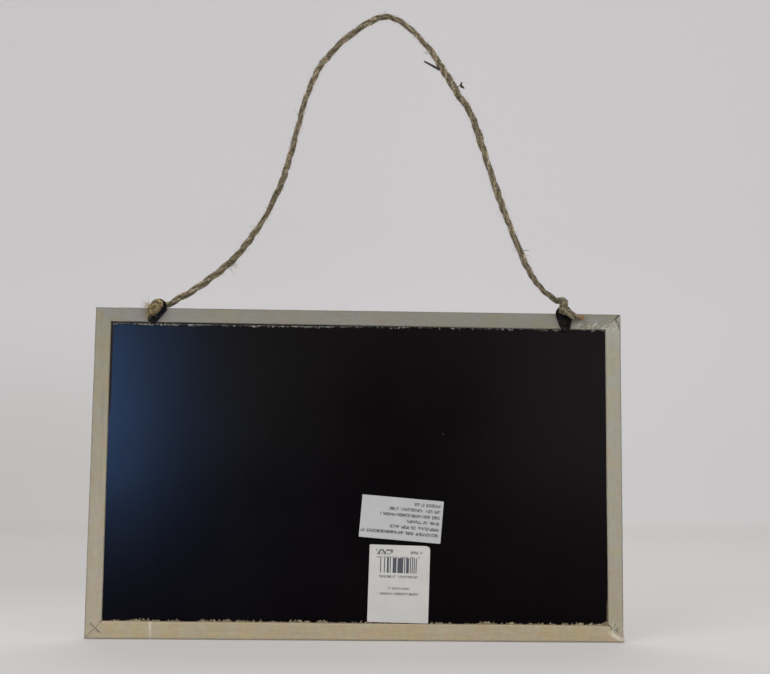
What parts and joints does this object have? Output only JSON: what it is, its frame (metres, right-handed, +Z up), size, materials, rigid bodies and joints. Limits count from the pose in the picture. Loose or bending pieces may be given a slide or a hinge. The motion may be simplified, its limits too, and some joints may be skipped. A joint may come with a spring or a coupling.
{
  "type": "wall chalkboard",
  "caption": "Small rectangular chalkboard: a black writing panel in a mitred wooden frame, hung from a loop of jute twine knotted to two black hanger plates.",
  "frame": {"origin": "middle of the top rail's back face, which lies on the wall", "axes": "+Z up, +X along the board to the viewer's right, +Y into the wall, so the side in the picture faces -Y"},
  "size_m": [0.245, 0.0143, 0.2952],
  "materials": {
    "washed_wood": "matte",
    "chalkboard_black": "satin",
    "staple_steel": "satin",
    "black_steel": "satin",
    "jute": "matte",
    "label_paper": "satin"
  },
  "bodies": {
    "board": {"rail_top": "washed_wood", "rail_right": "washed_wood", "rail_bottom": "washed_wood", "rail_left": "washed_wood", "chalk_panel": "chalkboard_black", "staple_top_left": "staple_steel", "staple_top_right": "staple_steel", "staple_bottom_right": "staple_steel", "staple_bottom_left": "staple_steel", "hanger_plate_left": "black_steel", "hanger_plate_right": "black_steel", "hanger_tack_left": "black_steel", "hanger_tack_right": "black_steel", "twine_knot_left": "jute", "twine_knot_right": "jute", "label_info": "label_paper", "label_price": "label_paper"},
    "twine_loop": {"twine": "jute"}
  },
  "joints": [
    {"name": "twine_swing", "type": "hinge", "parent": "board", "child": "twine_loop", "pos_m": [-0.0895, -0.00755, 0.00692], "axis": [0.9997, 0, 0.0234], "range_deg": [-90, 90]}
  ]
}
